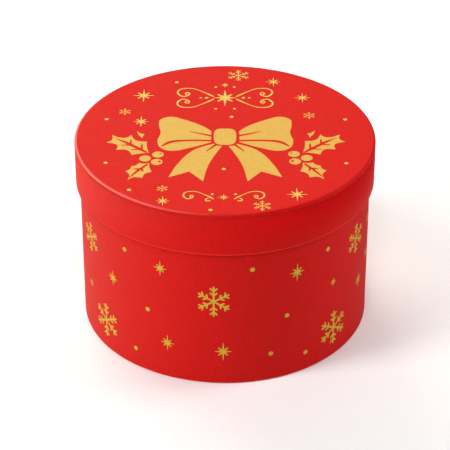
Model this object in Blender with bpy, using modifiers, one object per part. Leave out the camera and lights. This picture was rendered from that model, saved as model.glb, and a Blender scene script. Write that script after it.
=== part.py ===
"""Round gift box: a greyboard drum and a lift-off lid, both covered in printed paper.

Heights are measured upwards from the surface that the box stands on, and every piece is
turned about the upright axis through the middle of the box. All lengths are in metres.
"""

from math import cos, pi, radians, sin

import bmesh
import bpy
from mathutils import Matrix, Vector

# Overall sizes
lid_outer_diameter = 0.2000
total_height = 0.1326
skirt_depth = 0.0304

# Boards
lid_board_thickness = 0.0015
lid_band_thickness = 0.0010
body_tube_thickness = 0.0015
base_board_thickness = 0.0015
board_edge_radius = 0.00035
lid_edge_radius = 0.0016

# Papers
wrap_thickness = 0.00016
lining_thickness = 0.00014

# Clearances
glue_gap = 0.0003
running_clearance = 0.0004
lid_rest_gap = 0.0003

# How far the papers are turned round the boards
cover_turn_down = 0.0110
skirt_turn_in = 0.0120
rim_turn_in = 0.0180
base_turn_under = 0.0140
base_cover_inset = 0.0015

# V notches that let the turned papers lie flat
tab_count = 24
cover_notch_width = 0.0040
base_notch_width = 0.0036
notch_root_distance = 0.0006
cut_overrun = 0.0010

# Lap seams, counted in segments of the round pieces
round_segments = 72
lap_segments = 1
body_lap_start_segment = 17
lid_lap_start_segment = 24
lap_sink_share = 0.5

# Steps in the small round edges
fold_steps = 2
lid_edge_steps = 4
board_bevel_segments = 1
smooth_angle = radians(35)
merge_distance = 0.00001

# Radii of the lid, from the outside inwards
lid_radius = lid_outer_diameter / 2
flap_radius = lid_radius - wrap_thickness - glue_gap
band_radius = flap_radius - wrap_thickness - glue_gap
band_inner_radius = band_radius - lid_band_thickness
skirt_lining_radius = band_inner_radius - glue_gap
skirt_inner_radius = skirt_lining_radius - max(wrap_thickness, lining_thickness)
lid_board_radius = lid_radius - wrap_thickness - glue_gap
ceiling_lining_radius = skirt_inner_radius - glue_gap

# Radii of the body, from the outside inwards
body_radius = skirt_inner_radius - running_clearance
tube_radius = body_radius - wrap_thickness - glue_gap
tube_inner_radius = tube_radius - body_tube_thickness
wall_lining_radius = tube_inner_radius - glue_gap
base_board_radius = tube_inner_radius - glue_gap
floor_lining_radius = wall_lining_radius - lining_thickness - glue_gap
base_cover_radius = body_radius - base_cover_inset

# Heights of the lid, from the top downwards
lid_board_top = total_height - wrap_thickness - glue_gap
lid_board_bottom = lid_board_top - lid_board_thickness
ceiling_lining_top = lid_board_bottom - glue_gap
ceiling_lining_bottom = ceiling_lining_top - lining_thickness
band_top = lid_board_bottom - glue_gap
tuck_depth = lid_radius - flap_radius
tuck_bottom = lid_board_bottom - tuck_depth
skirt_wrap_top = tuck_bottom - glue_gap
flap_bottom = total_height - cover_turn_down
skirt_bottom = total_height - skirt_depth
band_bottom = skirt_bottom + wrap_thickness + glue_gap
skirt_turn_in_top = skirt_bottom + skirt_turn_in

# Heights of the body, from the base upwards
base_cover_top = wrap_thickness
body_bottom = base_cover_top + glue_gap
tube_bottom = body_bottom + wrap_thickness + glue_gap
base_board_top = tube_bottom + base_board_thickness
floor_lining_bottom = base_board_top + glue_gap
body_top = ceiling_lining_bottom - lid_rest_gap
tube_top = body_top - wrap_thickness - glue_gap
rim_turn_in_bottom = body_top - rim_turn_in

# Folds keep the same distance from the softened board edges as the flat sheets do
fold_radius = board_edge_radius + glue_gap + wrap_thickness

printed_red = (0.584, 0.012, 0.011)
greyboard_brown = (0.305, 0.262, 0.209)
lining_white = (0.847, 0.823, 0.768)


def clear_scene():
    for item in list(bpy.data.objects):
        bpy.data.objects.remove(item, do_unlink=True)


def new_collection(name):
    collection = bpy.data.collections.new(name)
    bpy.context.scene.collection.children.link(collection)
    return collection


def new_material(name, colour, roughness):
    material = bpy.data.materials.new(name)
    material.use_nodes = True
    shader = material.node_tree.nodes["Principled BSDF"]
    shader.inputs["Base Color"].default_value = (*colour, 1)
    shader.inputs["Roughness"].default_value = roughness
    shader.inputs["Metallic"].default_value = 0
    return material


def arc(centre, radius, start_degrees, end_degrees, steps):
    """Points of an arc in the profile plane; angles run anticlockwise from outwards."""
    points = []
    for step in range(steps + 1):
        angle = radians(start_degrees + (end_degrees - start_degrees) * step / steps)
        points.append((centre[0] + radius * cos(angle), centre[1] + radius * sin(angle)))
    return points


def new_part(name, mesh, collection):
    part = bpy.data.objects.new(name, mesh)
    collection.objects.link(part)
    return part


def turned_surface(name, outline, collection, segments=round_segments, first_segment=0):
    """An outline of (radius, height) points, turned about the upright axis."""
    mesh = bpy.data.meshes.new(name)
    points = [(radius, 0, height) for radius, height in outline]
    mesh.from_pydata(points, [(at, at + 1) for at in range(len(points) - 1)], [])
    part = new_part(name, mesh, collection)
    part.rotation_euler.z = first_segment * 2 * pi / round_segments
    screw = part.modifiers.new("Turn", "SCREW")
    screw.angle = segments * 2 * pi / round_segments
    screw.steps = segments
    screw.render_steps = segments
    screw.use_smooth_shade = True
    screw.use_merge_vertices = segments == round_segments
    screw.merge_threshold = merge_distance
    return part


def thicken(part, thickness, offset=-1):
    """Gives a surface its thickness, behind its face unless another offset is asked for."""
    solidify = part.modifiers.new("Thickness", "SOLIDIFY")
    solidify.thickness = thickness
    solidify.offset = offset
    solidify.use_even_offset = True


def soften_edges(part, radius):
    bevel = part.modifiers.new("Soft edges", "BEVEL")
    bevel.width = radius
    bevel.segments = board_bevel_segments
    bevel.limit_method = "ANGLE"
    bevel.angle_limit = smooth_angle


def board_ring(name, radius, thickness, bottom, top, collection):
    ring = turned_surface(name, [(radius, top), (radius, bottom)], collection)
    thicken(ring, thickness)
    soften_edges(ring, board_edge_radius)
    return ring


def lining_ring(name, radius, bottom, top, collection):
    ring = turned_surface(name, [(radius, top), (radius, bottom)], collection)
    thicken(ring, lining_thickness)
    return ring


def disc(name, radius, bottom, thickness, collection):
    middle = (0, 0, bottom + thickness / 2)
    bpy.ops.mesh.primitive_cylinder_add(
        vertices=round_segments, radius=radius, depth=thickness, location=middle)
    part = bpy.context.active_object
    part.name = name
    part.data.name = name
    for holder in list(part.users_collection):
        holder.objects.unlink(part)
    collection.objects.link(part)
    return part


def wedge_ring(name, corners, push, collection):
    """Triangular wedges round the axis, pushed half each way, that cut the V notches.

    Each stands over the middle of a segment, where no edge of the paper meets its point.
    """
    shape = bmesh.new()
    half_segment = pi / round_segments
    for step in range(tab_count):
        turn = Matrix.Rotation(step * 2 * pi / tab_count + half_segment, 3, "Z")
        near_side = [shape.verts.new(turn @ (corner - push / 2)) for corner in corners]
        face = shape.faces.new(near_side)
        grown = bmesh.ops.extrude_face_region(shape, geom=[face])["geom"]
        far_side = [item for item in grown if isinstance(item, bmesh.types.BMVert)]
        bmesh.ops.translate(shape, verts=far_side, vec=turn @ push)
    bmesh.ops.recalc_face_normals(shape, faces=shape.faces)
    mesh = bpy.data.meshes.new(name)
    shape.to_mesh(mesh)
    shape.free()
    return new_tool(new_part(name, mesh, collection))


def new_tool(part):
    part.display_type = "WIRE"
    part.hide_render = True
    return part


def combine(part, tool, operation):
    boolean = part.modifiers.new(tool.name, "BOOLEAN")
    boolean.object = tool
    boolean.operation = operation
    boolean.solver = "EXACT"


def cover_notches(collection):
    """V notches up from the free edge of the paper that is turned down over the lid."""
    middle_radius = flap_radius - wrap_thickness / 2
    root = tuck_bottom - notch_root_distance
    mouth = flap_bottom - cut_overrun
    half_width = cover_notch_width / 2 * (root - mouth) / (root - flap_bottom)
    corners = [Vector((middle_radius, 0, root)),
               Vector((middle_radius, half_width, mouth)),
               Vector((middle_radius, -half_width, mouth))]
    push = Vector((wrap_thickness + cut_overrun, 0, 0))
    return wedge_ring("cover_notch_cutters", corners, push, collection)


def base_notches(collection):
    """V notches out from the free edge of the paper that is turned under the base."""
    middle_height = body_bottom + wrap_thickness / 2
    root = body_radius - fold_radius - notch_root_distance
    free_edge = body_radius - base_turn_under
    mouth = free_edge - cut_overrun
    half_width = base_notch_width / 2 * (root - mouth) / (root - free_edge)
    corners = [Vector((root, 0, middle_height)),
               Vector((mouth, half_width, middle_height)),
               Vector((mouth, -half_width, middle_height))]
    push = Vector((0, 0, wrap_thickness + cut_overrun))
    return wedge_ring("base_notch_cutters", corners, push, collection)


def lap(name, radius, bottom, top, first_segment, collection):
    """The doubled strip where a wrap's two ends overlap, sunk part way into the wrap."""
    strip = turned_surface(name, [(radius, top), (radius, bottom)], collection,
                           lap_segments, first_segment)
    sink = wrap_thickness * lap_sink_share
    depth = wrap_thickness + sink
    thicken(strip, depth, offset=1 - 2 * sink / depth)
    return new_tool(strip)


def make_base_cover(pieces, tools):
    return disc("base_cover", base_cover_radius, 0, base_cover_top, pieces)


def make_body_wrap(pieces, tools):
    """One strip of paper: under the base, up the wall, over the rim and down inside."""
    inside_face = wall_lining_radius - wrap_thickness
    rim_inner = (inside_face + fold_radius, body_top - fold_radius)
    rim_outer = (body_radius - fold_radius, body_top - fold_radius)
    base_fold = (body_radius - fold_radius, body_bottom + fold_radius)
    outline = [(inside_face, rim_turn_in_bottom)]
    outline += arc(rim_inner, fold_radius, 180, 90, fold_steps)
    outline += arc(rim_outer, fold_radius, 90, 0, fold_steps)
    outline += arc(base_fold, fold_radius, 0, -90, fold_steps)
    outline += [(body_radius - base_turn_under, body_bottom)]
    wrap = turned_surface("body_wrap", outline, pieces)
    thicken(wrap, wrap_thickness)
    combine(wrap, base_notches(tools), "DIFFERENCE")
    seam = lap("body_lap", body_radius, body_bottom + fold_radius, body_top - fold_radius,
               body_lap_start_segment, tools)
    combine(wrap, seam, "UNION")
    return wrap


def make_body_tube(pieces, tools):
    return board_ring("body_tube", tube_radius, body_tube_thickness, tube_bottom, tube_top, pieces)


def make_base_board(pieces, tools):
    board = disc("base_board", base_board_radius, tube_bottom, base_board_thickness, pieces)
    soften_edges(board, board_edge_radius)
    return board


def make_wall_lining(pieces, tools):
    return lining_ring("wall_lining", wall_lining_radius, base_board_top + glue_gap,
                       rim_turn_in_bottom - glue_gap, pieces)


def make_floor_lining(pieces, tools):
    return disc("floor_lining", floor_lining_radius, floor_lining_bottom, lining_thickness, pieces)


def make_lid_board(pieces, tools):
    """A disc whose upper edge is rounded, so that the paper over it is too."""
    round_radius = lid_edge_radius - wrap_thickness - glue_gap
    round_centre = (lid_board_radius - round_radius, lid_board_top - round_radius)
    outline = [(0, lid_board_top)]
    outline += arc(round_centre, round_radius, 90, 0, lid_edge_steps)
    outline += [(lid_board_radius, lid_board_bottom), (0, lid_board_bottom)]
    return turned_surface("lid_board", outline, pieces)


def make_lid_band(pieces, tools):
    return board_ring("lid_band", band_radius, lid_band_thickness, band_bottom, band_top, pieces)


def make_lid_top_cover(pieces, tools):
    """A paper disc drawn over the lid's rounded edge, tucked under it and glued down."""
    round_centre = (lid_radius - lid_edge_radius, total_height - lid_edge_radius)
    outline = [(0, total_height)]
    outline += arc(round_centre, lid_edge_radius, 90, 0, lid_edge_steps)
    outline += [(lid_radius, lid_board_bottom)]
    outline += [(flap_radius, tuck_bottom), (flap_radius, flap_bottom)]
    cover = turned_surface("lid_top_cover", outline, pieces)
    thicken(cover, wrap_thickness)
    combine(cover, cover_notches(tools), "DIFFERENCE")
    return cover


def make_lid_skirt_wrap(pieces, tools):
    """A band of paper over the skirt, folded round its lower edge and turned in."""
    inside_face = skirt_lining_radius - wrap_thickness
    outer_fold = (lid_radius - fold_radius, skirt_bottom + fold_radius)
    inner_fold = (inside_face + fold_radius, skirt_bottom + fold_radius)
    outline = [(lid_radius, skirt_wrap_top)]
    outline += arc(outer_fold, fold_radius, 0, -90, fold_steps)
    outline += arc(inner_fold, fold_radius, 270, 180, fold_steps)
    outline += [(inside_face, skirt_turn_in_top)]
    wrap = turned_surface("lid_skirt_wrap", outline, pieces)
    thicken(wrap, wrap_thickness)
    seam = lap("lid_lap", lid_radius, skirt_bottom + fold_radius, skirt_wrap_top,
               lid_lap_start_segment, tools)
    combine(wrap, seam, "UNION")
    return wrap


def make_lid_skirt_lining(pieces, tools):
    return lining_ring("lid_skirt_lining", skirt_lining_radius, skirt_turn_in_top + glue_gap,
                       band_top, pieces)


def make_lid_ceiling_lining(pieces, tools):
    return disc("lid_ceiling_lining", ceiling_lining_radius, ceiling_lining_bottom,
                lining_thickness, pieces)


def settle(part, material):
    """Turns a part with its modifiers into one plain mesh, with its corners kept sharp."""
    graph = bpy.context.evaluated_depsgraph_get()
    mesh = bpy.data.meshes.new_from_object(part.evaluated_get(graph))
    part.modifiers.clear()
    part.data = mesh
    mesh.name = part.name
    mesh.shade_smooth()
    mesh.set_sharp_from_angle(angle=smooth_angle)
    mesh.materials.clear()
    mesh.materials.append(material)


def carry(name, parts, collection):
    """Parents the pieces of one body to an empty on the axis that the lid lifts along."""
    empty = bpy.data.objects.new(name, None)
    collection.objects.link(empty)
    for part in parts:
        part.parent = empty


def build():
    clear_scene()
    pieces = new_collection("round_gift_box")
    tools = new_collection("cutters")
    body_makers = {
        make_base_cover: (printed_red, 0.55),
        make_body_wrap: (printed_red, 0.5),
        make_body_tube: (greyboard_brown, 0.9),
        make_base_board: (greyboard_brown, 0.9),
        make_wall_lining: (lining_white, 0.8),
        make_floor_lining: (lining_white, 0.8),
    }
    lid_makers = {
        make_lid_board: (greyboard_brown, 0.9),
        make_lid_band: (greyboard_brown, 0.9),
        make_lid_top_cover: (printed_red, 0.5),
        make_lid_skirt_wrap: (printed_red, 0.5),
        make_lid_skirt_lining: (lining_white, 0.8),
        make_lid_ceiling_lining: (lining_white, 0.8),
    }
    for carrier, makers in (("body_carrier", body_makers), ("lid_carrier", lid_makers)):
        parts = []
        for make, (colour, roughness) in makers.items():
            part = make(pieces, tools)
            settle(part, new_material(part.name, colour, roughness))
            parts.append(part)
        carry(carrier, parts, pieces)


build()
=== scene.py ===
"""Looks of the round gift box: papers, gold print, floor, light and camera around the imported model."""

import math

import bmesh
import bpy
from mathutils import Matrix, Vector


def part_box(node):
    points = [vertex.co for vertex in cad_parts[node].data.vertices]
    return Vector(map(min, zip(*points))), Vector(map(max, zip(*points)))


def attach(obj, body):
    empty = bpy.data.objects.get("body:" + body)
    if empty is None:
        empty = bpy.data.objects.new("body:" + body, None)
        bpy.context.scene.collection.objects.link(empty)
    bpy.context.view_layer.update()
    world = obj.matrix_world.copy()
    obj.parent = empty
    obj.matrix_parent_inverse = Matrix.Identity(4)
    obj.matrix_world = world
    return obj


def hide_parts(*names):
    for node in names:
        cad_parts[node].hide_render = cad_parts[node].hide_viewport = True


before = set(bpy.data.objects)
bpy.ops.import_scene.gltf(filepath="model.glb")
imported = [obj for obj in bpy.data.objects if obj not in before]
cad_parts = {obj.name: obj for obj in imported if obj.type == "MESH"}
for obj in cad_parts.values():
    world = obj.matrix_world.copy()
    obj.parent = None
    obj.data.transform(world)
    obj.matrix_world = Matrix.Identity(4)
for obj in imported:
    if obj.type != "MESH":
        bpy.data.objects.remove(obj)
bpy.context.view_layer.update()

# The papers and their glue, in metres, as the solids have them
wrap_thickness = 0.00016
glue_gap = 0.0003
base_turn_under = 0.0140

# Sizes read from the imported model, in metres
lid_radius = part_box("lid_top_cover")[1].x
lid_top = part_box("lid_top_cover")[1].z
flap_radius = lid_radius - wrap_thickness - glue_gap
flap_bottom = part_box("lid_top_cover")[0].z
skirt_wrap_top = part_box("lid_skirt_wrap")[1].z
skirt_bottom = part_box("lid_skirt_wrap")[0].z
skirt_turn_in_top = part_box("lid_skirt_lining")[0].z - glue_gap
skirt_lining_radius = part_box("lid_skirt_lining")[1].x
body_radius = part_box("body_wrap")[1].x
body_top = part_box("body_wrap")[1].z
body_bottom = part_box("body_wrap")[0].z
wall_lining_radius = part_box("wall_lining")[1].x
wall_lining_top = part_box("wall_lining")[1].z

# The lid's rounded edge, in metres: how far in it starts and how far down it ends
lid_edge_reach = 0.0019
lid_edge_drop = 0.0016

# How far below the lid's top its edge is burnished, from and to
burnished_depths = (0.00009, 0.00096)

# Other fine shape of the papers, in metres
fold_radius = 0.0008
cover_to_band_gap = 0.0002
lap_rise = 0.00012

# An extra ring of points this far from a fold keeps the shading of the paper beside it flat
shading_margin = 0.0004

# Half the thickness of the print's plates, which lie half in the paper and half out of it
ink_proud = 0.00003

# The lap seams, in degrees from +X: where each starts and ends, and its step up and slope down
body_lap = (85, 90)
lid_lap = (120, 125)
lap_step_degrees = 0.02
lap_ramp_degrees = 0.8

# How fine the meshes are: numbers of steps, then lengths in metres and an angle
round_segments = 288
fold_steps = 6
lid_edge_steps = 14
curve_steps = 6
bend_step = 0.0012
merge_distance = 1e-7
sharp_degrees = 35

# The print is laid out in hundredths of the lid's radius
print_unit = lid_radius / 100


def arc(centre, reach, rise, start_degrees, end_degrees, steps):
    """Points on an arc of a turned outline, as (distance from the axis, height)."""
    points = []
    for step in range(steps + 1):
        angle = math.radians(start_degrees + (end_degrees - start_degrees) * step / steps)
        points.append((centre[0] + reach * math.cos(angle), centre[1] + rise * math.sin(angle)))
    return points


def outline_normals(outline):
    """For each point of a turned outline, the direction in which its paper faces."""
    normals = []
    for index in range(len(outline)):
        before = Vector(outline[max(index - 1, 0)])
        after = Vector(outline[min(index + 1, len(outline) - 1)])
        along = (after - before).normalized()
        normals.append((-along.y, along.x))
    return normals


def lap_height(degrees, lap):
    """How far the doubled paper of a lap seam stands up at a place round the axis."""
    if lap is None:
        return 0.0
    start, end = lap
    if degrees <= start or degrees >= end:
        return 0.0
    return lap_rise * min((end - degrees) / lap_ramp_degrees, 1.0)


def places_round(lap):
    """The degrees at which a turned skin has its points, with extra ones at a lap's ends."""
    places = {360 * index / round_segments for index in range(round_segments)}
    if lap is not None:
        start, end = lap
        places.update((start, start + lap_step_degrees, end - lap_ramp_degrees, end))
    return sorted(places)


def new_object(name, mesh):
    piece = bpy.data.objects.new(name, mesh)
    bpy.context.scene.collection.objects.link(piece)
    return piece


def shade(mesh):
    mesh.shade_smooth()
    mesh.set_sharp_from_angle(angle=math.radians(sharp_degrees))


def turned_skin(name, outline, lap=None):
    """A paper skin turned round the axis. The outline runs down the side that faces out."""
    places = places_round(lap)
    work = bmesh.new()
    rings = []
    for (radius, height), (out, up) in zip(outline, outline_normals(outline)):
        if radius == 0:
            pole = work.verts.new((0, 0, height))
            rings.append([pole] * len(places))
            continue
        ring = []
        for degrees in places:
            rise = lap_height(degrees, lap)
            angle = math.radians(degrees)
            reach = radius + out * rise
            point = (reach * math.cos(angle), reach * math.sin(angle), height + up * rise)
            ring.append(work.verts.new(point))
        rings.append(ring)
    for upper, lower in zip(rings, rings[1:]):
        for index in range(len(places)):
            following = (index + 1) % len(places)
            corners = [upper[index], lower[index], lower[following], upper[following]]
            work.faces.new(list(dict.fromkeys(corners)))
    mesh = bpy.data.meshes.new(name)
    work.to_mesh(mesh)
    work.free()
    shade(mesh)
    piece = new_object(name, mesh)
    paper = piece.modifiers.new("paper thickness", "SOLIDIFY")
    paper.thickness = wrap_thickness
    paper.offset = -1
    return piece


def paper_fold(centre_radius, centre_height, start_degrees, end_degrees):
    """Points on one of the papers' small folds."""
    centre = (centre_radius, centre_height)
    return arc(centre, fold_radius, fold_radius, start_degrees, end_degrees, fold_steps)


def make_lid_cover():
    """The printed disc over the lid: flat, round its edge and down as a flap behind the band."""
    top = lid_top - ink_proud
    edge_bottom = skirt_wrap_top + cover_to_band_gap
    edge_centre = (lid_radius - lid_edge_reach, top - lid_edge_drop)
    outline = [(0, top), (edge_centre[0] - shading_margin, top)]
    outline += arc(edge_centre, lid_edge_reach, lid_edge_drop, 90, 0, lid_edge_steps)
    outline += [(lid_radius, edge_bottom), (flap_radius, edge_bottom), (flap_radius, flap_bottom)]
    cover = turned_skin("lid_cover_paper", outline)
    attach(cover, "lid")
    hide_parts("lid_top_cover")
    return cover


def make_skirt_wrap():
    """The printed band of the skirt, folded round its lower edge and turned up inside."""
    inner_radius = skirt_lining_radius - wrap_thickness
    fold_height = skirt_bottom + fold_radius
    outline = [(lid_radius, skirt_wrap_top), (lid_radius, fold_height + shading_margin)]
    outline += paper_fold(lid_radius - fold_radius, fold_height, 0, -90)
    outline += paper_fold(inner_radius + fold_radius, fold_height, -90, -180)
    outline += [(inner_radius, fold_height + shading_margin), (inner_radius, skirt_turn_in_top)]
    wrap = turned_skin("skirt_wrap_paper", outline, lid_lap)
    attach(wrap, "lid")
    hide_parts("lid_skirt_wrap")
    return wrap


def make_body_wrap():
    """The printed strip of the wall, turned in over the rim and under the base."""
    inner_radius = wall_lining_radius - wrap_thickness
    rim_height = body_top - fold_radius
    foot_height = body_bottom + fold_radius
    turn_in_bottom = wall_lining_top + glue_gap
    outline = [(inner_radius, turn_in_bottom), (inner_radius, rim_height - shading_margin)]
    outline += paper_fold(inner_radius + fold_radius, rim_height, 180, 90)
    outline += paper_fold(body_radius - fold_radius, rim_height, 90, 0)
    outline += [(body_radius, rim_height - shading_margin), (body_radius, foot_height + shading_margin)]
    outline += paper_fold(body_radius - fold_radius, foot_height, 0, -90)
    outline += [(body_radius - base_turn_under, body_bottom)]
    wrap = turned_skin("body_wrap_paper", outline, body_lap)
    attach(wrap, "box")
    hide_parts("body_wrap")
    return wrap


# Print motifs: a loop is a list of (x, y) corners, or of (x, y, kind) knots with these kinds
CORNER = "VECTOR"
ROUND = "AUTO"


def plate_mesh(loops):
    """A thin flat plate with these outlines, its middle at height 0; a loop in another is a hole."""
    curve = bpy.data.curves.new("print outline", "CURVE")
    curve.dimensions = "2D"
    curve.fill_mode = "BOTH"
    curve.extrude = ink_proud
    curve.resolution_u = curve_steps
    for loop in loops:
        spline = curve.splines.new("BEZIER")
        spline.bezier_points.add(len(loop) - 1)
        for knot, point in zip(spline.bezier_points, loop):
            kind = point[2] if len(point) == 3 else CORNER
            knot.co = (point[0] * print_unit, point[1] * print_unit, 0)
            knot.handle_left_type = kind
            knot.handle_right_type = kind
        spline.use_cyclic_u = True
    holder = new_object("print outline", curve)
    evaluated = holder.evaluated_get(bpy.context.evaluated_depsgraph_get())
    mesh = bpy.data.meshes.new_from_object(evaluated)
    bpy.data.objects.remove(holder)
    bpy.data.curves.remove(curve)
    return mesh


def lay_on_lid(work, place):
    """Puts a flat plate on the lid's top, at a place in print units."""
    for vert in work.verts:
        vert.co.x += place[0] * print_unit
        vert.co.y += place[1] * print_unit
        vert.co.z += lid_top - ink_proud


def lay_on_wall(work, place):
    """Bends a flat plate round the wall, at a place in degrees from the front and print units up."""
    reach = max(abs(vert.co.x) for vert in work.verts)
    cuts = int(reach / bend_step)
    for cut in range(-cuts, cuts + 1):
        everything = work.verts[:] + work.edges[:] + work.faces[:]
        bmesh.ops.bisect_plane(work, geom=everything, dist=merge_distance,
                               plane_co=(cut * bend_step, 0, 0), plane_no=(1, 0, 0))
    for vert in work.verts:
        angle = math.radians(place[0]) + vert.co.x / body_radius
        radius = body_radius + vert.co.z
        height = vert.co.y + place[1] * print_unit
        vert.co = (radius * math.sin(angle), -radius * math.cos(angle), height)


def print_piece(name, motifs, lay, body, ink):
    """One printed piece from motifs, each (loops, place), laid on the lid or on the wall."""
    joined = bmesh.new()
    for loops, place in motifs:
        mesh = plate_mesh(loops)
        work = bmesh.new()
        work.from_mesh(mesh)
        bmesh.ops.remove_doubles(work, verts=work.verts, dist=merge_distance)
        lay(work, place)
        work.to_mesh(mesh)
        work.free()
        joined.from_mesh(mesh)
        bpy.data.meshes.remove(mesh)
    mesh = bpy.data.meshes.new(name)
    joined.to_mesh(mesh)
    joined.free()
    shade(mesh)
    piece = new_object(name, mesh)
    piece.data.materials.append(ink)
    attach(piece, body)
    return piece


def mirrored(loops):
    """Loops with left and right changed over."""
    return [[(-point[0], *point[1:]) for point in loop] for loop in loops]


def both_sides(loops):
    """Loops and their mirror images."""
    return loops + mirrored(loops)


def dot(radius, x=0.0, y=0.0):
    points = []
    for step in range(8):
        angle = math.radians(45 * step)
        points.append((x + radius * math.cos(angle), y + radius * math.sin(angle), ROUND))
    return points


def star(half_width, half_height, valley_share=0.25):
    """A star of eight rays: upright and level rays long, the four between them short and blunter."""
    valley = valley_share * half_height
    diagonal = 0.64 * half_height
    fine_tip = 0.015 * half_height
    blunt_tip = 0.045 * half_height
    reaches = (half_height, diagonal, half_width, diagonal)
    points = []
    for ray in range(8):
        turn = math.radians(45 * ray)
        reach = reaches[ray % 4]
        width = blunt_tip if ray % 2 else fine_tip
        for across, along in ((-width, reach), (width, reach)):
            points.append((along * math.sin(turn) + across * math.cos(turn),
                           along * math.cos(turn) - across * math.sin(turn)))
        between = turn + math.radians(22.5)
        points.append((valley * math.sin(between), valley * math.cos(between)))
    return points


# The side branches of a snowflake's arm, in shares of its radius: where a branch leaves the arm,
# how far along it ends and how far out
arm_branches = [(0.41, 0.57, 0.20), (0.69, 0.865, 0.20)]

# The blunt ends of arms and branches, in shares of their half width
shoulder_back = 0.5
blunt_end = 0.4


def snowflake_arm(radius, half):
    """The outline of one arm along +X with this half width, out along one side and back."""
    side = [(half / math.tan(math.radians(30)), half)]
    for start, end, spread in arm_branches:
        lean = math.atan2(spread, end - start)
        along = Vector((math.cos(lean), math.sin(lean)))
        across = Vector((-along.y, along.x)) * half
        foot = Vector((start * radius, 0))
        tip = Vector((end * radius, spread * radius))
        for edge in (across, -across):
            reach = (half - foot.y - edge.y) / along.y
            corner = foot + edge + along * reach
            shoulder = tip + edge - along * half * shoulder_back
            end_corner = tip + edge * blunt_end + along * half * blunt_end
            corners = [tuple(corner), tuple(shoulder), tuple(end_corner)]
            side += corners if edge is across else corners[::-1]
    side += [(radius - half, half), (radius, half * blunt_end)]
    return side + [(x, -y) for x, y in reversed(side)]


def snowflake(radius, half_width_share=0.05):
    """A flake of six arms, each with two pairs of side branches, as one outline."""
    arm = snowflake_arm(radius, half_width_share * radius)
    points = []
    for index in range(6):
        turn = math.radians(90 - 60 * index)
        for along, across in arm[1:]:
            points.append((along * math.cos(turn) - across * math.sin(turn),
                           along * math.sin(turn) + across * math.cos(turn)))
    return points


def stroke(path, half_widths):
    """The outline of a pen stroke along a smooth path, its half widths at start, middle and end."""
    count = len(path) - 1
    near = []
    far = []
    for index, point in enumerate(path):
        before = Vector(path[max(index - 1, 0)])
        after = Vector(path[min(index + 1, count)])
        along = (after - before).normalized()
        across = Vector((-along.y, along.x))
        share = index / count
        if share < 0.5:
            half = half_widths[0] + (half_widths[1] - half_widths[0]) * share * 2
        else:
            half = half_widths[1] + (half_widths[2] - half_widths[1]) * (share * 2 - 1)
        near.append((*(Vector(point) + across * half), ROUND))
        far.append((*(Vector(point) - across * half), ROUND))
    return near + far[::-1]


def moved(loops, x, y, scale=1.0, flip=1):
    """Loops scaled and moved to a place, upside down with a flip of -1."""
    return [[(x + point[0] * scale, y + point[1] * scale * flip, *point[2:]) for point in loop]
            for loop in loops]


def knot_of_bow():
    half = [(0, 9.3), (-5.6, 8.0), (-7.2, 3.8), (-7.4, -1.6), (-7.2, -6.2), (-5.7, -10.6), (0, -12.3)]
    other = [(-x, y) for x, y in half[-2:0:-1]]
    return [[(x, y, ROUND) for x, y in half + other]]


def loop_of_bow():
    """The left loop of the ribbon: its outer edge, a fold near its lower side and a short crease."""
    edge = [(-9.0, 5.7, CORNER), (-12.7, 10.5, ROUND), (-17.4, 14.8, ROUND), (-23.3, 19.0, ROUND),
            (-28.4, 22.1, ROUND), (-36.7, 25.4, ROUND), (-43.3, 21.8, ROUND), (-44.2, 14.7, ROUND),
            (-42.9, 3.7, ROUND), (-44.6, -8.5, ROUND), (-41.5, -17.2, ROUND), (-34.6, -20.0, ROUND),
            (-23.3, -16.3, ROUND), (-13.8, -11.4, ROUND), (-8.8, -8.5, CORNER)]
    fold = [(-9.0, -7.8, CORNER), (-25.0, -7.7, ROUND), (-35.0, -9.6, ROUND), (-41.6, -14.7, CORNER),
            (-42.2, -13.5, CORNER), (-36.8, -7.4, ROUND), (-26.0, -5.5, ROUND), (-9.2, -5.7, CORNER)]
    crease = [(-9.2, -1.5, CORNER), (-23.6, 5.0, CORNER), (-23.6, 5.8, CORNER), (-9.2, 1.0, CORNER)]
    return [edge + fold + crease]


def tail_of_bow():
    """The left tail of the ribbon, with its notched end and a short crease at the knot."""
    return [[(-1.9, -13.6, CORNER), (-7.2, -27.0, ROUND), (-11.0, -39.5, ROUND), (-14.1, -58.8, CORNER),
             (-23.1, -46.6, CORNER), (-36.4, -53.8, CORNER), (-30.5, -36.5, ROUND),
             (-21.1, -19.8, ROUND), (-14.0, -14.2, ROUND), (-7.4, -10.9, CORNER),
             (-6.9, -11.6, CORNER), (-12.6, -20.4, CORNER), (-11.9, -20.9, CORNER),
             (-5.4, -12.9, CORNER), (-4.4, -13.7, CORNER)]]


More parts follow.
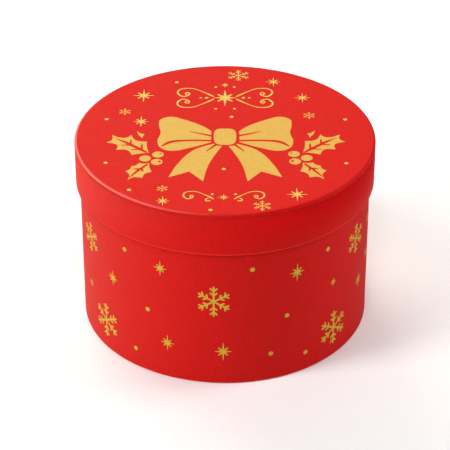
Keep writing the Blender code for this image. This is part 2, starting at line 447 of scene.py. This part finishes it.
def holly_leaves():
    """The two leaves on the left and the tip of a third, with their ribs and veins left open."""
    upper = [(-75.0, 0.6, CORNER), (-69.5, -2.7, ROUND), (-65.0, -2.6, ROUND), (-62.3, 0.6, CORNER),
             (-58.6, -6.6, ROUND), (-51.6, -8.1, CORNER), (-51.4, -15.0, ROUND), (-49.9, -22.8, CORNER),
             (-55.5, -23.6, ROUND), (-61.0, -25.4, CORNER), (-64.4, -19.0, ROUND), (-71.4, -18.8, CORNER),
             (-71.2, -12.4, ROUND), (-78.3, -9.0, CORNER), (-74.9, -6.0, ROUND)]
    upper_rib = [(-74.0, -3.0), (-65.0, -7.9), (-62.9, -9.6), (-62.7, -5.4), (-61.7, -5.6), (-61.5, -10.9),
                 (-55.6, -16.4), (-55.3, -11.2), (-54.3, -11.4), (-54.0, -17.9), (-50.4, -22.0),
                 (-51.2, -23.4), (-57.0, -19.0), (-62.4, -19.4), (-62.3, -18.6), (-58.2, -17.6),
                 (-62.8, -13.4), (-68.6, -13.2), (-68.5, -12.4), (-64.4, -11.7), (-66.2, -9.9)]
    lower = [(-49.2, -36.2, CORNER), (-52.0, -36.6, ROUND), (-56.1, -35.9, CORNER), (-57.6, -38.6, ROUND),
             (-60.8, -40.0, CORNER), (-61.2, -43.3, ROUND), (-64.3, -46.2, CORNER), (-61.6, -50.4, ROUND),
             (-62.4, -57.1, CORNER), (-58.6, -53.8, ROUND), (-53.2, -54.6, CORNER), (-51.7, -49.6, ROUND),
             (-47.3, -46.9, CORNER), (-48.9, -41.6, ROUND)]
    lower_rib = [(-49.6, -37.5), (-53.0, -42.8), (-52.6, -46.6), (-53.4, -46.7), (-54.3, -44.6),
                 (-60.9, -53.9), (-61.5, -53.2), (-56.8, -44.4), (-59.4, -43.5), (-59.3, -42.8),
                 (-55.2, -42.4), (-51.0, -36.9)]
    tip = [(-58.7, 6.0, CORNER), (-55.9, 2.8, ROUND), (-53.2, 1.7, CORNER), (-54.5, -0.4, ROUND),
           (-54.6, -3.6, CORNER), (-57.3, 0.6, ROUND)]
    return [upper, upper_rib, lower, lower_rib, tip]


def holly_berries():
    """Three berries, two of them with a glint left open."""
    return [dot(3.8, -52.1, -30.0), dot(3.8, -43.9, -24.9), dot(0.8, -42.0, -23.7),
            dot(3.8, -44.4, -34.5), dot(1.1, -42.7, -34.0)]


def scroll():
    """A pen scroll that curls in at its left end, with its tail end at the origin."""
    path = [(-14.4, 2.2), (-14.9, 3.9), (-13.8, 4.6), (-13.0, 3.0), (-14.2, 1.1), (-16.4, 0.3),
            (-18.4, 2.2), (-19.2, 5.2), (-17.6, 8.2), (-14.6, 9.2), (-11.0, 8.8), (-7.4, 6.6), (0, 0)]
    return [stroke(path, (0.35, 0.5, 0.25))]


def hook():
    """A small curl that goes with a scroll."""
    path = [(-3.5, 0.8), (-5.0, -0.6), (-4.6, -2.0), (-3.2, -2.4), (-2.2, -1.7)]
    return [stroke(path, (0.25, 0.5, 0.3))]


def flourish():
    """The line of ornament near the front of the lid: two scrolls, two hooks, two dots and a star."""
    curl = scroll() + hook() + [dot(0.95, -0.9, 5.8)]
    return (moved(curl, -7.2, -80.4) + moved(mirrored(curl), 5.8, -80.4)
            + moved([star(3.7, 3.8)], -0.8, -78.3))


def ornament():
    """The generic ornament behind the bow: a star between scrolls that curl up and down."""
    upper = moved(scroll(), -7.6, 53.6, 1.3)
    lower = moved(scroll(), -7.6, 50.4, 1.3, -1)
    drops = [dot(1.2, -12.6, 52.0), dot(0.9, -16.6, 52.0), dot(1.0, -6.4, 67.4), dot(1.0, -6.4, 36.6)]
    return (both_sides(upper + lower + drops) + moved([star(7.6, 11.0)], 0, 52.0)
            + moved([star(2.8, 3.6)], 0, 70.4))


# Motifs on the lid: (x, y, size or half width, half height), in print units from its centre
lid_snowflakes = [(9.4, 84.5, 8.0), (-67.7, 32.3, 4.4), (56.8, 27.2, 4.4), (-40.0, -67.6, 3.9),
                  (23.4, -88.6, 6.1)]
lid_stars = [(33.6, 75.0, 5.1, 6.6), (53.0, 52.1, 5.4, 6.6), (-55.8, 55.2, 7.0, 8.7),
             (-56.4, 18.9, 5.1, 7.0), (-39.3, -82.8, 4.4, 5.8), (45.7, -74.9, 6.6, 7.6)]
lid_dots = [(-33.5, 74.4), (-79.7, 22.2), (4.4, 25.4), (80.9, 21.8), (-77.6, -35.5), (78.8, -36.1),
            (-0.8, -43.5), (-61.0, -69.3), (-9.1, -93.5)]
lid_dot_radius = 1.3

# The small motifs on the lid are a little finer than those on the wall: shares of their size
lid_flake_half_width = 0.041
lid_star_valley = 0.21

# The lid's print isn't quite symmetrical: how far its right parts are from mirrored places
right_bow_shift = (0.45, 0)
right_holly_shift = (1.25, 0.7)

# Motifs on the wall: (degrees from the front, height, size or half width, half height)
wall_snowflakes = [(-65.8, 78.4, 11.4), (-4.3, 65.3, 11.7), (62.7, 80.3, 11.4), (-54.6, 22.9, 13.2),
                   (47.9, 23.1, 13.2), (122, 66, 11.7), (-167, 79, 11.4), (-118, 64, 11.7),
                   (113, 24, 13.2), (163, 22, 12.6), (-138, 23, 13.2)]
wall_stars = [(-25.4, 85.1, 4.8, 5.6), (28.6, 80.4, 5.3, 6.7), (-49.2, 61.4, 4.8, 5.8),
              (46.9, 60.1, 2.9, 3.5), (-67.0, 40.7, 3.4, 3.8), (66.7, 43.4, 5.4, 5.8),
              (-22.8, 27.8, 4.8, 6.1), (-0.7, 26.1, 5.6, 7.0), (79, 80, 4.5, 5.5), (77, 54.5, 3.9, 4.8),
              (91, 36, 4.8, 5.8), (102, 86, 5.0, 6.2), (141, 84, 5.0, 6.5), (146, 50, 4.4, 5.4),
              (134, 30, 4.6, 5.7), (-171, 46, 5.2, 6.4), (-146, 62, 4.9, 6.1), (-141, 90, 4.4, 5.4),
              (-113, 31, 4.6, 5.8), (-94, 84, 5.0, 6.2), (-92, 50, 4.4, 5.4), (-84, 24, 5.2, 6.6)]
wall_dots = [(-41.9, 89.5), (10.4, 89.1), (43.3, 88.6), (-31.2, 50.0), (24.5, 48.8), (-37.4, 14.6),
             (18.0, 21.1), (33.2, 14.2), (89, 64), (92, 13), (105, 52), (132, 92), (143, 68), (148, 14),
             (161, 58), (168, 92), (-173, 16), (-155, 38), (-160, 60), (-127, 86), (-130, 46),
             (-112, 12), (-104, 42), (-103, 92)]
wall_dot_radius = 1.6


def make_lid_print():
    on_lid = dict(lay=lay_on_lid, body="lid", ink=lid_gold)
    small_on_lid = dict(lay=lay_on_lid, body="lid", ink=fine_gold)
    centre = (0, 0)
    bow = [(loop_of_bow(), centre), (tail_of_bow(), centre), (knot_of_bow(), centre),
           (mirrored(loop_of_bow()), right_bow_shift), (mirrored(tail_of_bow()), right_bow_shift)]
    print_piece("lid_print_bow", bow, **on_lid)
    holly = [(holly_leaves(), centre), (holly_berries(), centre),
             (mirrored(holly_leaves()), right_holly_shift),
             (mirrored(holly_berries()), right_holly_shift)]
    print_piece("lid_print_holly", holly, **on_lid)
    print_piece("lid_print_flourish", [(flourish(), centre)], **small_on_lid)
    print_piece("lid_print_ornament", [(ornament(), centre)], **small_on_lid)
    flakes = [([snowflake(size, lid_flake_half_width)], (x, y)) for x, y, size in lid_snowflakes]
    print_piece("lid_print_snowflakes", flakes, **small_on_lid)
    stars = [([star(width, height, lid_star_valley)], (x, y)) for x, y, width, height in lid_stars]
    print_piece("lid_print_stars", stars, **small_on_lid)
    dots = [([dot(lid_dot_radius)], place) for place in lid_dots]
    print_piece("lid_print_dots", dots, **small_on_lid)


def make_wall_print():
    on_wall = dict(lay=lay_on_wall, body="box", ink=shaded_wall_gold)
    flakes = [([snowflake(size)], (degrees, z)) for degrees, z, size in wall_snowflakes]
    print_piece("body_print_snowflakes", flakes, **on_wall)
    stars = [([star(width, height)], (degrees, z)) for degrees, z, width, height in wall_stars]
    print_piece("body_print_stars", stars, **on_wall)
    dots = [([dot(wall_dot_radius)], place) for place in wall_dots]
    print_piece("body_print_dots", dots, **on_wall)


# Tints of the prints' gloss and sheen, as colours, and the sheen's roughness
warm_gloss = (1, 1, 0.62, 1)
pale_gloss = (1, 1, 0.82, 1)
warm_sheen = (1, 0.9, 0.75, 1)
sheen_roughness = 0.42

# Sizes of what shows in the surfaces, in metres
board_wave = 0.030
mottle_spot = 0.008
grain_spot = 0.0007
fibre_spot = 0.0004
lining_cloud_spot = 0.006
lining_rough_spot = 0.0012
pulp_spot = 0.0012
pulp_grain_spot = 0.0006
floor_cloud_spot = 0.05
floor_grain_spot = 0.01

# Heights of the relief, in metres
board_wave_height = 0.00006
grain_height = 0.00008
fibre_height = 0.00003
ink_grain_height = 0.00003
ink_fibre_height = 0.00002
lining_wave_height = 0.00008
lining_fibre_height = 0.00004
pulp_height = 0.00006

# The share of broad mottle in a print's colour; the rest is grain
red_mottle_share = 0.12
gold_mottle_share = 0.06

# Values of the noise between which a print goes from its first colour to its second
first_colour_at = 0.38
second_colour_at = 0.62

# Values of the noise that get a surface's lowest and highest roughness
lowest_roughness_at = 0.3
highest_roughness_at = 0.7


def new_material(name, specular):
    material = bpy.data.materials.new(name)
    material.use_nodes = True
    shader = material.node_tree.nodes["Principled BSDF"]
    shader.inputs["Specular IOR Level"].default_value = specular
    return material


def noise(material, spot, detail=2, distortion=0.0):
    """A cloud of soft spots about this many metres across, as a value from 0 to 1."""
    tree = material.node_tree
    place = tree.nodes.new("ShaderNodeTexCoord")
    texture = tree.nodes.new("ShaderNodeTexNoise")
    texture.inputs["Scale"].default_value = 1 / spot
    texture.inputs["Detail"].default_value = detail
    texture.inputs["Roughness"].default_value = 0.65
    texture.inputs["Distortion"].default_value = distortion
    tree.links.new(place.outputs["Object"], texture.inputs["Vector"])
    return texture.outputs["Fac"]


def blended(material, first, second, share):
    """A value that is this share of the second one and the rest of the first."""
    tree = material.node_tree
    blend = tree.nodes.new("ShaderNodeMix")
    blend.inputs["Factor"].default_value = share
    tree.links.new(first, blend.inputs["A"])
    tree.links.new(second, blend.inputs["B"])
    return blend.outputs["Result"]


def set_colour(material, value, *stops):
    """Colours the surface by a value that varies over it. Each stop is (value, colour)."""
    tree = material.node_tree
    ramp = tree.nodes.new("ShaderNodeValToRGB")
    elements = ramp.color_ramp.elements
    while len(elements) < len(stops):
        elements.new(1.0)
    for element, (position, colour) in zip(elements, stops):
        element.position = position
        element.color = (*colour, 1)
    tree.links.new(value, ramp.inputs["Fac"])
    tree.links.new(ramp.outputs["Color"], tree.nodes["Principled BSDF"].inputs["Base Color"])


def set_roughness(material, value, lowest, highest):
    tree = material.node_tree
    spread = tree.nodes.new("ShaderNodeMapRange")
    spread.inputs["From Min"].default_value = lowest_roughness_at
    spread.inputs["From Max"].default_value = highest_roughness_at
    spread.inputs["To Min"].default_value = lowest
    spread.inputs["To Max"].default_value = highest
    tree.links.new(value, spread.inputs["Value"])
    tree.links.new(spread.outputs["Result"], tree.nodes["Principled BSDF"].inputs["Roughness"])


def set_relief(material, *layers):
    """Gives the surface its relief in layers, each (value, height in metres)."""
    tree = material.node_tree
    shader = tree.nodes["Principled BSDF"]
    for value, height in layers:
        bump = tree.nodes.new("ShaderNodeBump")
        bump.inputs["Distance"].default_value = height
        tree.links.new(value, bump.inputs["Height"])
        if shader.inputs["Normal"].is_linked:
            below = shader.inputs["Normal"].links[0].from_socket
            tree.links.new(below, bump.inputs["Normal"])
        tree.links.new(bump.outputs["Normal"], shader.inputs["Normal"])


def printed_red(name, darker, lighter, smooth, rough, specular, sheen=0.0, tint=warm_gloss):
    """Red print on uncoated paper: mottled ink, fibres in relief and a slightly uneven board."""
    material = new_material(name, specular)
    shader = material.node_tree.nodes["Principled BSDF"]
    shader.inputs["Specular Tint"].default_value = tint
    shader.inputs["Sheen Weight"].default_value = sheen
    shader.inputs["Sheen Roughness"].default_value = sheen_roughness
    shader.inputs["Sheen Tint"].default_value = warm_sheen
    grain = noise(material, grain_spot, detail=1)
    mottle = noise(material, mottle_spot, detail=2)
    ink = blended(material, grain, mottle, red_mottle_share)
    set_colour(material, ink, (first_colour_at, darker), (second_colour_at, lighter))
    set_roughness(material, mottle, lowest=smooth, highest=rough)
    fibres = noise(material, fibre_spot, distortion=1.0)
    waves = noise(material, board_wave)
    set_relief(material, (waves, board_wave_height), (grain, grain_height), (fibres, fibre_height))
    return material


def make_skirt_paper():
    """The skirt's paper has twice the sheen of the others, which shows at its sides."""
    return printed_red("red printed paper of the skirt",
                       darker=(0.53, 0.0001, 0.0022), lighter=(0.65, 0.0022, 0.0048),
                       smooth=0.70, rough=0.80, specular=0.19, sheen=0.07)


def make_body_paper():
    return printed_red("red printed paper of the body",
                       darker=(0.53, 0.0001, 0.0022), lighter=(0.67, 0.0022, 0.0048),
                       smooth=0.70, rough=0.80, specular=0.21, sheen=0.035)


def make_lid_paper():
    return printed_red("red printed paper of the lid",
                       darker=(0.53, 0.0012, 0.0012), lighter=(0.65, 0.0028, 0.0028),
                       smooth=0.70, rough=0.80, specular=0.17, sheen=0.035)


def make_burnished_paper():
    """The paper on the lid's rounded edge, rubbed smooth."""
    return printed_red("red paper burnished at the edge",
                       darker=(0.55, 0.0005, 0.002), lighter=(0.61, 0.0015, 0.004),
                       smooth=0.33, rough=0.42, specular=0.46, tint=pale_gloss)


def make_worn_and_highlit_paper():
    """The paper on the small folds, where the ink is rubbed thin, and much lighter than the rest as a
    painted highlight along the fold.
    """
    return printed_red("red paper worn and painted light at a fold",
                       darker=(0.82, 0.010, 0.009), lighter=(0.92, 0.024, 0.018),
                       smooth=0.50, rough=0.62, specular=0.05)


def make_base_paper():
    return printed_red("plain red paper of the base",
                       darker=(0.52, 0.008, 0.008), lighter=(0.60, 0.014, 0.012),
                       smooth=0.55, rough=0.70, specular=0.12)


def gold_print(name, thinner, denser, smooth, rough, specular):
    """Gold ink: denser and thinner patches, with the paper's fibres under it."""
    material = new_material(name, specular)
    shader = material.node_tree.nodes["Principled BSDF"]
    shader.inputs["Specular Tint"].default_value = warm_gloss
    grain = noise(material, grain_spot, detail=1)
    cloud = noise(material, mottle_spot, detail=2)
    ink = blended(material, grain, cloud, gold_mottle_share)
    set_colour(material, ink, (first_colour_at, thinner), (second_colour_at, denser))
    set_roughness(material, cloud, lowest=smooth, highest=rough)
    fibres = noise(material, fibre_spot, distortion=1.0)
    set_relief(material, (grain, ink_grain_height), (fibres, ink_fibre_height))
    return material


def make_lid_gold():
    return gold_print("gold ink of the bow",
                      thinner=(0.600, 0.335, 0.060), denser=(0.680, 0.415, 0.080),
                      smooth=0.42, rough=0.56, specular=0.15)


def make_fine_gold():
    """The lid's small motifs look lighter and yellower than the broad bow."""
    return gold_print("gold ink of the small motifs",
                      thinner=(0.66, 0.44, 0.085), denser=(0.73, 0.50, 0.105),
                      smooth=0.42, rough=0.56, specular=0.15)


# The lid's gold ink again, its colour made deeper and more saturated on the wall: painted shade of the
# wall.
def make_shaded_wall_gold():
    return gold_print("gold ink of the wall, deepened as painted shade",
                      thinner=(0.575, 0.38, 0.026), denser=(0.645, 0.43, 0.034),
                      smooth=0.46, rough=0.58, specular=0.6)


def make_greyboard():
    """Recycled board: grey pulp with darker and lighter flecks."""
    material = new_material("greyboard", specular=0.15)
    pulp = noise(material, pulp_spot, detail=5, distortion=1.5)
    dark_fleck = (0.24, 0.21, 0.18)
    grey = (0.42, 0.38, 0.33)
    light_fleck = (0.55, 0.52, 0.47)
    set_colour(material, pulp, (0.30, dark_fleck), (0.45, grey), (0.72, light_fleck))
    set_roughness(material, pulp, lowest=0.80, highest=0.95)
    pulp_grain = noise(material, pulp_grain_spot, distortion=1.5)
    set_relief(material, (pulp_grain, pulp_height))
    return material


def make_lining_paper():
    """Uncoated off-white paper with faint fibres and a slight cloudiness."""
    material = new_material("lining paper", specular=0.2)
    cloud = noise(material, lining_cloud_spot, detail=5, distortion=0.8)
    set_colour(material, cloud, (0.32, (0.80, 0.78, 0.725)), (0.68, (0.87, 0.855, 0.81)))
    set_roughness(material, noise(material, lining_rough_spot), lowest=0.62, highest=0.78)
    waves = noise(material, board_wave)
    fibres = noise(material, fibre_spot, distortion=1.5)
    set_relief(material, (waves, lining_wave_height), (fibres, lining_fibre_height))
    return material


def make_floor_paint():
    material = new_material("floor paint", specular=0.1)
    cloud = noise(material, floor_cloud_spot, detail=4)
    set_colour(material, cloud, (0.3, (0.925, 0.925, 0.925)), (0.7, (0.935, 0.935, 0.935)))
    set_roughness(material, noise(material, floor_grain_spot), lowest=0.85, highest=0.95)
    return material


skirt_paper = make_skirt_paper()
body_paper = make_body_paper()
lid_paper = make_lid_paper()
burnished_paper = make_burnished_paper()
worn_and_highlit_paper = make_worn_and_highlit_paper()
lid_gold = make_lid_gold()
fine_gold = make_fine_gold()
shaded_wall_gold = make_shaded_wall_gold()
board = make_greyboard()
lining = make_lining_paper()
base_paper = make_base_paper()

carried_over = {
    "base_cover": base_paper,
    "body_tube": board,
    "base_board": board,
    "wall_lining": lining,
    "floor_lining": lining,
    "lid_board": board,
    "lid_band": board,
    "lid_skirt_lining": lining,
    "lid_ceiling_lining": lining,
}


def dress_carried_nodes():
    for node, material in carried_over.items():
        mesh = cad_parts[node].data
        mesh.materials.clear()
        mesh.materials.append(material)


def dress_skin(skin, paper, rubbed_and_highlit_paper, *rubbed_and_highlit_heights):
    """Gives a skin its paper, and between each (lowest, highest) of the heights the second one: rubbed,
    and at the folds also painted lighter as a highlight.
    """
    skin.data.materials.append(paper)
    skin.data.materials.append(rubbed_and_highlit_paper)
    for lowest, highest in rubbed_and_highlit_heights:
        for face in skin.data.polygons:
            if lowest < face.center.z < highest:
                face.material_index = 1


def make_papers():
    """The three printed papers, each rubbed along its edge or folds; at the folds the paper is also
    painted lighter as a highlight.
    """
    upper, lower = burnished_depths
    dress_skin(make_lid_cover(), lid_paper, burnished_paper, (lid_top - lower, lid_top - upper))
    # The folds of the skirt and the body get worn paper, painted lighter as a highlight.
    skirt_fold_top = skirt_bottom + fold_radius + shading_margin
    dress_skin(make_skirt_wrap(), skirt_paper, worn_and_highlit_paper, (0, skirt_fold_top))
    rim = (body_top - fold_radius, body_top)
    foot = (0, body_bottom + fold_radius)
    dress_skin(make_body_wrap(), body_paper, worn_and_highlit_paper, rim, foot)


# The floor's radius in metres: it ends short of the softboxes, past which it would be dark
floor_radius = 1.9


def make_floor():
    mesh = bpy.data.meshes.new("floor")
    work = bmesh.new()
    bmesh.ops.create_circle(work, cap_ends=True, segments=round_segments, radius=floor_radius)
    work.to_mesh(mesh)
    work.free()
    floor = new_object("floor", mesh)
    floor.data.materials.append(make_floor_paint())
    floor.visible_glossy = False


# The softboxes, aimed at the box's middle: (name, degrees round from the front, degrees up,
# side length in metres, watts, colour). Distances are in metres.
neutral = (1, 1, 1)
warm = (1, 0.98, 0.86)
softboxes = [("key", -68, 26, 0.6, 20, neutral), ("high left", -60, 58, 0.5, 7.5, neutral),
             ("high front", 0, 53, 0.5, 12, neutral), ("right", 100, 28, 0.9, 18, neutral),
             ("back left", -150, 28, 1.6, 30, warm), ("back", 180, 40, 1.6, 9, neutral),
             ("left edge", -103, 12, 1.2, 42, warm), ("rim", -92, 54, 1.2, 23, neutral)]
softbox_distance = 2.0

# Softboxes that no gloss shows, and those that only gloss shows
without_gloss = ("right", "high front", "back")
gloss_only = ("left edge", "rim")

# Strength of the sky as a light, and as what the camera sees
sky_strength = 0.08
backdrop_strength = 1.0

# The camera, fitted to the outlines of the lid and the body
lens_mm = 163.06
sensor_mm = 36
camera_back_radii = 11.760
camera_up_radii = 8.0655
camera_pitch_degrees = 32.33


def make_softbox(name, azimuth, elevation, side, watts, colour):
    lamp = bpy.data.lights.new(name, "AREA")
    lamp.size = side
    lamp.energy = watts
    lamp.color = colour
    light = bpy.data.objects.new(name, lamp)
    light.visible_glossy = name not in without_gloss
    light.visible_diffuse = name not in gloss_only
    round_by = math.radians(azimuth)
    up_by = math.radians(elevation)
    away = Vector((math.sin(round_by) * math.cos(up_by), -math.cos(round_by) * math.cos(up_by),
                   math.sin(up_by)))
    light.location = away * softbox_distance + Vector((0, 0, lid_top / 2))
    light.rotation_euler = away.to_track_quat("Z", "Y").to_euler()
    bpy.context.scene.collection.objects.link(light)


def make_lights():
    for softbox in softboxes:
        make_softbox(*softbox)


def make_backdrop():
    """A sky that the camera sees as a pale backdrop past the floor's edge, and that lights dimly."""
    world = bpy.data.worlds.new("studio")
    world.use_nodes = True
    tree = world.node_tree
    path = tree.nodes.new("ShaderNodeLightPath")
    strength = tree.nodes.new("ShaderNodeMapRange")
    strength.inputs["To Min"].default_value = sky_strength
    strength.inputs["To Max"].default_value = backdrop_strength
    background = tree.nodes["Background"]
    background.inputs["Color"].default_value = (1, 1, 1, 1)
    tree.links.new(path.outputs["Is Camera Ray"], strength.inputs["Value"])
    tree.links.new(strength.outputs["Result"], background.inputs["Strength"])
    bpy.context.scene.world = world


def make_camera():
    camera = bpy.data.cameras.new("camera")
    camera.lens = lens_mm
    camera.sensor_width = sensor_mm
    holder = bpy.data.objects.new("camera", camera)
    holder.location = (0, -camera_back_radii * lid_radius, camera_up_radii * lid_radius)
    holder.rotation_euler = (math.radians(90 - camera_pitch_degrees), 0, 0)
    bpy.context.scene.collection.objects.link(holder)
    bpy.context.scene.camera = holder


make_papers()
make_lid_print()
make_wall_print()
dress_carried_nodes()
make_floor()
make_lights()
make_backdrop()
make_camera()
bpy.context.scene.view_settings.view_transform = "Standard"
